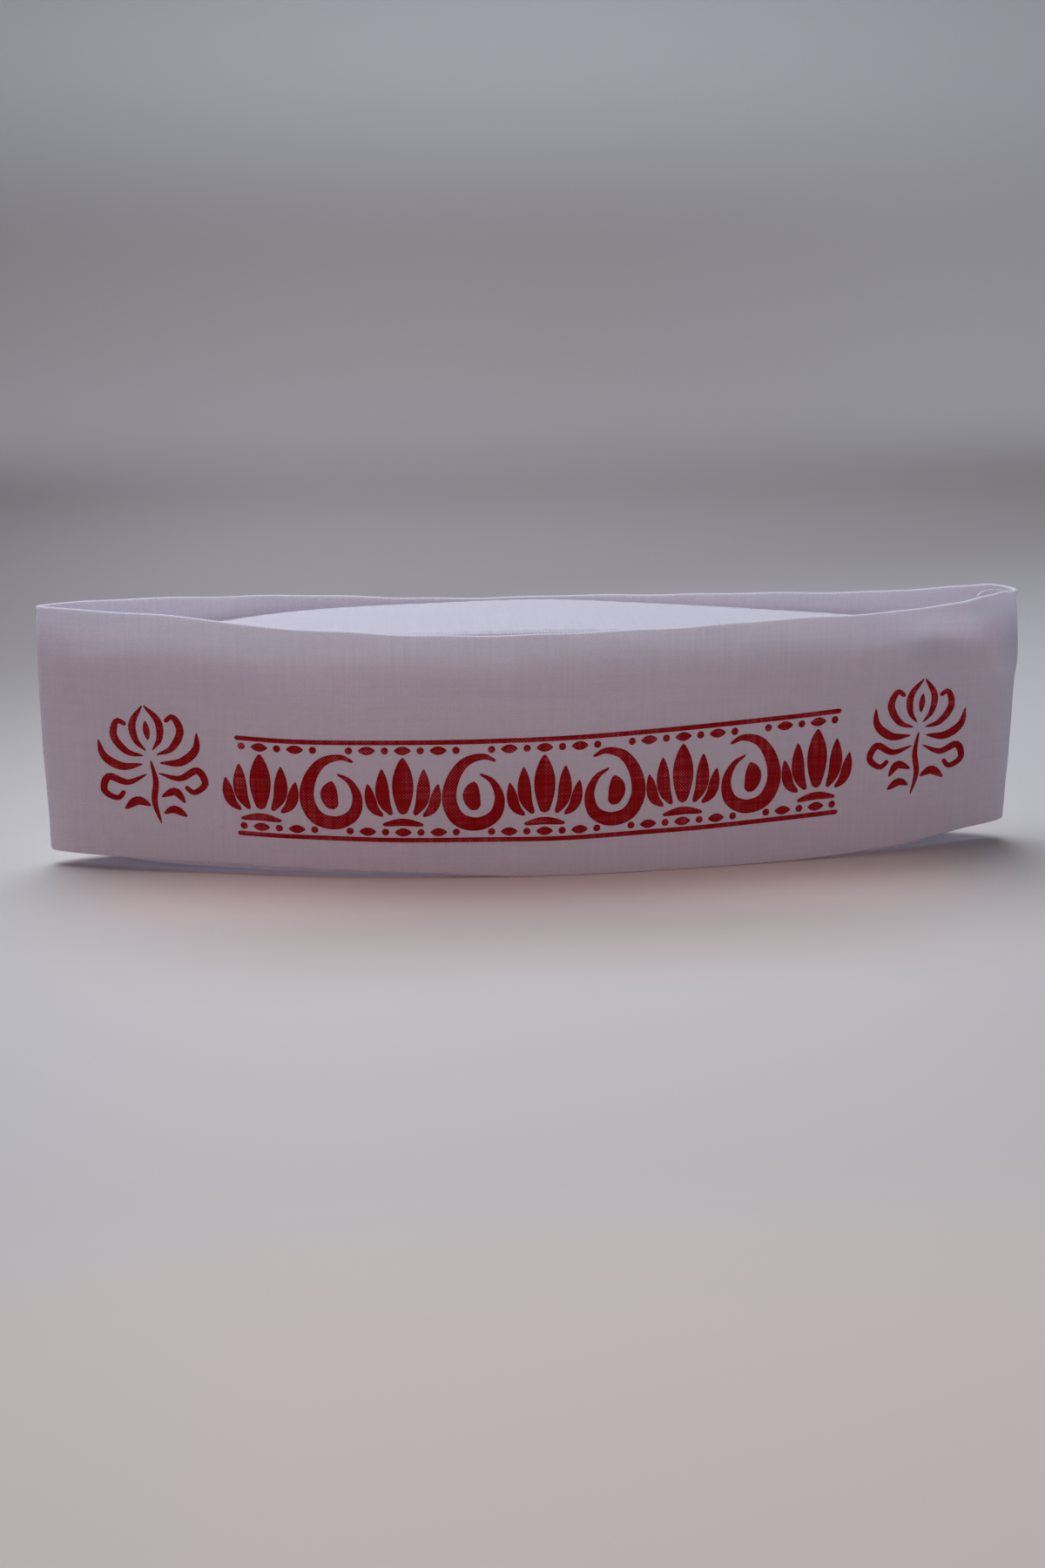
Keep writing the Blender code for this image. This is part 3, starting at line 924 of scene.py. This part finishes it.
def painted_rim_strip_shade(tree, place, colour):
    """The cloth's colour, with painted shade from an uneven line below the rim downwards, so that the strip
    along the rim shows lighter, as if lit through the cloth.
    """
    down = node(tree, "SeparateXYZ", {0: place}).outputs["Z"]
    edge = maths(tree, "SUBTRACT", noise_at(tree, place, RIM_STRIP_SHADE_STRETCH, 1.0), 0.5)
    down = maths(tree, "MULTIPLY_ADD", edge, RIM_STRIP_SHADE_UNEVEN, down)
    shaded_colour = mixed(tree, 1.0, colour, RIM_STRIP_SHADE_TINT, "MULTIPLY")
    return mixed(tree, ranged(tree, down, *RIM_STRIP_SHADE_DOWN), colour, shaded_colour)


def cloth_material(name, cloth, weave, starch):
    """White starched cloth that lets some light through."""
    material, tree, place = new_material(name)
    inputs = {"Place": place, "Thread": cloth.thread, "Unevenness": CLOTH_UNEVEN}
    threads = node(tree, "Group", inputs, node_tree=weave)
    patches = node(tree, "Group", {"Place": place, "Scale": CLOTH_PATCHES}, node_tree=starch)
    shade = times(tree, maths(tree, "SUBTRACT", 1.0, threads.outputs["Weave"]), cloth.contrast)
    colour = mixed(tree, shade, CLOTH_WHITE, CLOTH_SHADE)
    colour = mixed(tree, times(tree, patches.outputs["Patch"], PATCH_SHADE), colour, CLOTH_SHADE)
    # Painted shade below an uneven line under the rim; the strip along the rim stays lighter, as if lit
    # through the cloth
    if cloth.doubled:
        colour = painted_rim_strip_shade(tree, place, colour)
    relief_inputs = {"Height": threads.outputs["Height"], "Strength": 1.0, "Distance": CLOTH_RELIEF}
    normal = node(tree, "Bump", relief_inputs).outputs["Normal"]
    smoothest = cloth.roughness - SLUB_ROUGH / 2
    shader = node(
        tree,
        "BsdfPrincipled",
        {
            "Base Color": colour,
            "Roughness": maths(tree, "MULTIPLY_ADD", threads.outputs["Slub"], SLUB_ROUGH, smoothest),
            "Normal": normal,
            "Specular IOR Level": 0.3,
            "Sheen Weight": cloth.sheen,
            "Sheen Roughness": 0.45,
            "Sheen Tint": SHEEN_TINT,
        },
    )
    through = node(tree, "BsdfTranslucent", {"Color": colour, "Normal": normal})
    blend = node(tree, "MixShader", {0: cloth.through, 1: shader.outputs[0], 2: through.outputs[0]})
    node(tree, "OutputMaterial", {"Surface": blend.outputs[0]})
    return material


def ink_material(weave, starch):
    """Dark red screen print, through which the tops of the threads show as fine dots."""
    material, tree, place = new_material("border_ink")
    inputs = {"Place": place, "Thread": BAND_THREAD, "Unevenness": INK_UNEVEN}
    threads = node(tree, "Group", inputs, node_tree=weave)
    patches = node(tree, "Group", {"Place": place, "Scale": INK_PATCHES}, node_tree=starch)
    patchy = maths(tree, "MULTIPLY_ADD", patches.outputs["Patch"], INK_BARE_PATCHY, INK_BARE_LEAST)
    bare = times(tree, ranged(tree, threads.outputs["Weave"], *INK_BARE), patchy)
    relief_inputs = {"Height": threads.outputs["Height"], "Strength": 0.4, "Distance": INK_RELIEF}
    shader = node(
        tree,
        "BsdfPrincipled",
        {
            "Base Color": mixed(tree, bare, INK_RED, INK_THIN),
            "Roughness": 0.66,
            "Normal": node(tree, "Bump", relief_inputs).outputs["Normal"],
            "Specular IOR Level": 0.05,
        },
    )
    node(tree, "OutputMaterial", {"Surface": shader.outputs[0]})
    return material


def dress(pieces):
    """Gives every piece its material."""
    weave, starch = weave_group(), starch_group()
    materials = {name: cloth_material(name, cloth, weave, starch) for name, cloth in CLOTHS.items()}
    materials["border_ink"] = ink_material(weave, starch)
    for piece in pieces:
        piece.data.materials.clear()
        piece.data.materials.append(materials[piece["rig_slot"]])


def make_camera():
    data = bpy.data.cameras.new("camera")
    data.lens = LENS_MM
    data.sensor_width = SENSOR_MM
    data.clip_start = 0.01
    data.clip_end = 50.0
    camera = bpy.data.objects.new("camera", data)
    camera.location = CAMERA_PLACE
    camera.rotation_euler = (math.pi / 2 - CAMERA_PITCH, 0.0, -CAMERA_YAW)
    bpy.context.scene.collection.objects.link(camera)
    bpy.context.scene.camera = camera


# The studio's paper. FLOOR_WARM is its nearest part, and the other tones are laid over it in this order; after
# FLOOR_PALE they are all painted light or painted shade
FLOOR_WARM = (0.70, 0.615, 0.555, 1.0)
FLOOR_PALE = (0.62, 0.588, 0.572, 1.0)
# Painted shade: a darker floor towards the left and right
FLOOR_PAINTED_SHADE_SIDES = (0.48, 0.475, 0.50, 1.0)
# Painted shadow: pinker and darker on the floor before the cap, where its shadow falls
FLOOR_PAINTED_PINK_SHADOW = (0.59, 0.52, 0.49, 1.0)
# Painted light: paler and pinker on the floor close to the cap's foot, where the contact shadow falls
FLOOR_PAINTED_LIGHT_AT_FOOT = (0.92, 0.71, 0.65, 1.0)
# Painted light: pale and bluish on the floor under the cap, for light shining through its cloth
FLOOR_PAINTED_LIGHT_UNDER = (0.92, 0.92, 1.0, 1.0)
# Painted shade on the floor behind the cap, darker still towards the left
FLOOR_PAINTED_SHADE_BEHIND = (0.30, 0.278, 0.280, 1.0)
FLOOR_PAINTED_SHADE_LEFT = (0.17, 0.157, 0.160, 1.0)
# Painted shade far back and up the backdrop, with painted light on its right side and high up
BACK_PAINTED_SHADE = (0.47, 0.44, 0.445, 1.0)
BACK_PAINTED_LIGHT_RIGHT = (0.68, 0.65, 0.69, 1.0)
BACK_PAINTED_LIGHT_HIGH = (0.82, 0.83, 0.85, 1.0)

# Where each tone begins and where it is full. Depth is measured back from the cap's middle
PALE_DEPTH = (-0.28, -0.20)
# Where the painted shade at the sides begins and is full
SHADE_SIDES_ASIDE = (0.05, 0.27)
MIDDLE_DEPTH = (0.02, -0.005)  # the painted pink shadow and the painted light at the foot lie before the cap's middle
MIDDLE_ASIDE = (0.155, 0.06)
# Where the painted pink shadow and the painted light at the cap's foot begin and are full
PINK_SHADOW_DEPTH = (-0.125, -0.075)
LIGHT_AT_FOOT_DEPTH = (-0.072, -0.030)
LIGHT_UNDER_LENS = (1.0, 0.85)  # the painted light under the cap lies inside the outline of its foot, which is 1
SHADE_BEHIND_SLANT = 0.48  # the painted shade behind the cap begins on a line that slants back to the right
SHADE_BEHIND_DEPTH = (0.02, 0.42)
# Where the darker painted shade behind to the left begins and is full
SHADE_LEFT_DEPTH = (0.10, 0.50)
SHADE_LEFT_X = (-0.05, -0.40)
# Where the painted shade far back, and the painted light on the backdrop's right side and high up, begin and
# are full
BACK_SHADE_DEPTH = (0.70, 1.10)
LIGHT_RIGHT_DEPTH = (0.80, 1.15)
LIGHT_RIGHT_X = (0.10, 0.80)
LIGHT_HIGH_HEIGHT = (0.12, 0.32)

FLOOR_ENDS = (-2.6, 0.95)
FLOOR_HALF_WIDTH = 2.2
SWEEP_RADIUS = 0.35
SWEEP_STEPS = 16
BACK_HEIGHT = 2.2

# Lights: a spread of pi throws light all round, and a smaller one throws it straighter
Softbox = namedtuple("Softbox", "name place aim wide deep watts colour spread")
SOFTBOXES = (
    Softbox(
        "overhead softbox", (-0.20, 0.36, 0.93), (-0.02, 0.02, 0.0), 1.1, 0.8,
        12.0, (0.87, 0.915, 1.0), math.pi,
    ),
    Softbox(
        "front fill", (-0.28, -1.33, 0.38), (-0.03, 0.0, 0.03), 0.5, 0.5,
        0.165, (1.0, 0.70, 0.68), 0.62,
    ),
    Softbox(
        "right fill", (1.30, -0.32, 0.36), (0.0, 0.0, 0.03), 0.8, 0.5,
        1.7, (0.66, 0.80, 1.0), math.pi,
    ),
)
WORLD_COLOUR = (0.80, 0.78, 0.82, 1.0)
WORLD_STRENGTH = 0.16


def make_softbox(box):
    data = bpy.data.lights.new(box.name, "AREA")
    data.shape = "RECTANGLE"
    data.size = box.wide
    data.size_y = box.deep
    data.energy = box.watts
    data.color = box.colour
    data.spread = box.spread
    light = bpy.data.objects.new(box.name, data)
    light.location = box.place
    light.rotation_euler = (Vector(box.aim) - Vector(box.place)).to_track_quat("-Z", "Y").to_euler()
    light.visible_camera = False
    bpy.context.scene.collection.objects.link(light)


def foot_lens(tree, aside, depth):
    """1 on the outline of the cap's foot, and less inside it."""
    along = maths(tree, "DIVIDE", aside, CAP_LENGTH / 2)
    across = maths(tree, "DIVIDE", maths(tree, "ABSOLUTE", depth), FOOT_WIDTH / 2)
    return maths(tree, "MULTIPLY_ADD", along, along, across)


def sweep_tones(tree):
    """The masks and tones of the paper, in the order in which they are laid over its nearest part. All after
    the pale paper are painted light or painted shade.
    """
    flat = node(tree, "SeparateXYZ", {0: node(tree, "TexCoord").outputs["Object"]})
    x, depth, height = (flat.outputs[axis] for axis in "XYZ")
    aside = maths(tree, "ABSOLUTE", x)
    slanted = maths(tree, "SUBTRACT", depth, times(tree, x, SHADE_BEHIND_SLANT))
    before_cap = times(tree, ranged(tree, depth, *MIDDLE_DEPTH), ranged(tree, aside, *MIDDLE_ASIDE))
    painted_shade_left = times(tree, ranged(tree, slanted, *SHADE_LEFT_DEPTH), ranged(tree, x, *SHADE_LEFT_X))
    painted_light_right = times(tree, ranged(tree, depth, *LIGHT_RIGHT_DEPTH), ranged(tree, x, *LIGHT_RIGHT_X))
    # Painted shade at the sides, a painted pink shadow and painted light before and under the cap, painted
    # shade behind it, and painted shade and light on the backdrop
    return (
        (ranged(tree, depth, *PALE_DEPTH), FLOOR_PALE),
        (ranged(tree, aside, *SHADE_SIDES_ASIDE), FLOOR_PAINTED_SHADE_SIDES),
        (times(tree, ranged(tree, depth, *PINK_SHADOW_DEPTH), before_cap), FLOOR_PAINTED_PINK_SHADOW),
        (times(tree, ranged(tree, depth, *LIGHT_AT_FOOT_DEPTH), before_cap), FLOOR_PAINTED_LIGHT_AT_FOOT),
        (ranged(tree, foot_lens(tree, aside, depth), *LIGHT_UNDER_LENS), FLOOR_PAINTED_LIGHT_UNDER),
        (ranged(tree, slanted, *SHADE_BEHIND_DEPTH), FLOOR_PAINTED_SHADE_BEHIND),
        (painted_shade_left, FLOOR_PAINTED_SHADE_LEFT),
        (ranged(tree, depth, *BACK_SHADE_DEPTH), BACK_PAINTED_SHADE),
        (painted_light_right, BACK_PAINTED_LIGHT_RIGHT),
        (ranged(tree, height, *LIGHT_HIGH_HEIGHT), BACK_PAINTED_LIGHT_HIGH),
    )


def sweep_material():
    """Paper that is warm in front, with a painted pink shadow before the cap, painted light at its foot and
    under it, painted shade at the sides, behind it and far back, and painted light to the right and high up
    the backdrop.
    """
    material = bpy.data.materials.new("paper sweep")
    material.use_nodes = True
    tree = material.node_tree
    shader = tree.nodes["Principled BSDF"]
    colour = FLOOR_WARM
    for mask, tone in sweep_tones(tree):
        colour = mixed(tree, mask, colour, tone)
    tree.links.new(colour, shader.inputs["Base Color"])
    shader.inputs["Roughness"].default_value = 0.9
    shader.inputs["Specular IOR Level"].default_value = 0.15
    return material


def make_sweep():
    """Floor and backdrop in one curved sheet."""
    front, back = FLOOR_ENDS
    arc = [math.pi / 2 * k / SWEEP_STEPS for k in range(1, SWEEP_STEPS + 1)]
    profile = [(front, 0.0), (0.0, 0.0), (back, 0.0)]
    profile += [(back + SWEEP_RADIUS * math.sin(a), SWEEP_RADIUS * (1.0 - math.cos(a))) for a in arc]
    profile.append((back + SWEEP_RADIUS, BACK_HEIGHT))
    points = [(x, y, z) for y, z in profile for x in (-FLOOR_HALF_WIDTH, FLOOR_HALF_WIDTH)]
    faces = [(2 * k, 2 * k + 1, 2 * k + 3, 2 * k + 2) for k in range(len(profile) - 1)]
    data = bpy.data.meshes.new("paper_sweep")
    data.from_pydata(points, [], faces)
    data.shade_smooth()
    data.materials.append(sweep_material())
    sweep = bpy.data.objects.new("paper_sweep", data)
    bpy.context.scene.collection.objects.link(sweep)


def make_studio():
    make_sweep()
    for box in SOFTBOXES:
        make_softbox(box)
    world = bpy.data.worlds.new("studio")
    world.use_nodes = True
    background = world.node_tree.nodes["Background"]
    background.inputs["Color"].default_value = WORLD_COLOUR
    background.inputs["Strength"].default_value = WORLD_STRENGTH
    scene = bpy.context.scene
    scene.world = world
    scene.view_settings.view_transform = "Standard"


make_camera()
make_studio()
dress([make_band(), make_side_wall(), make_crown(), make_end_flap(), *make_prints()])
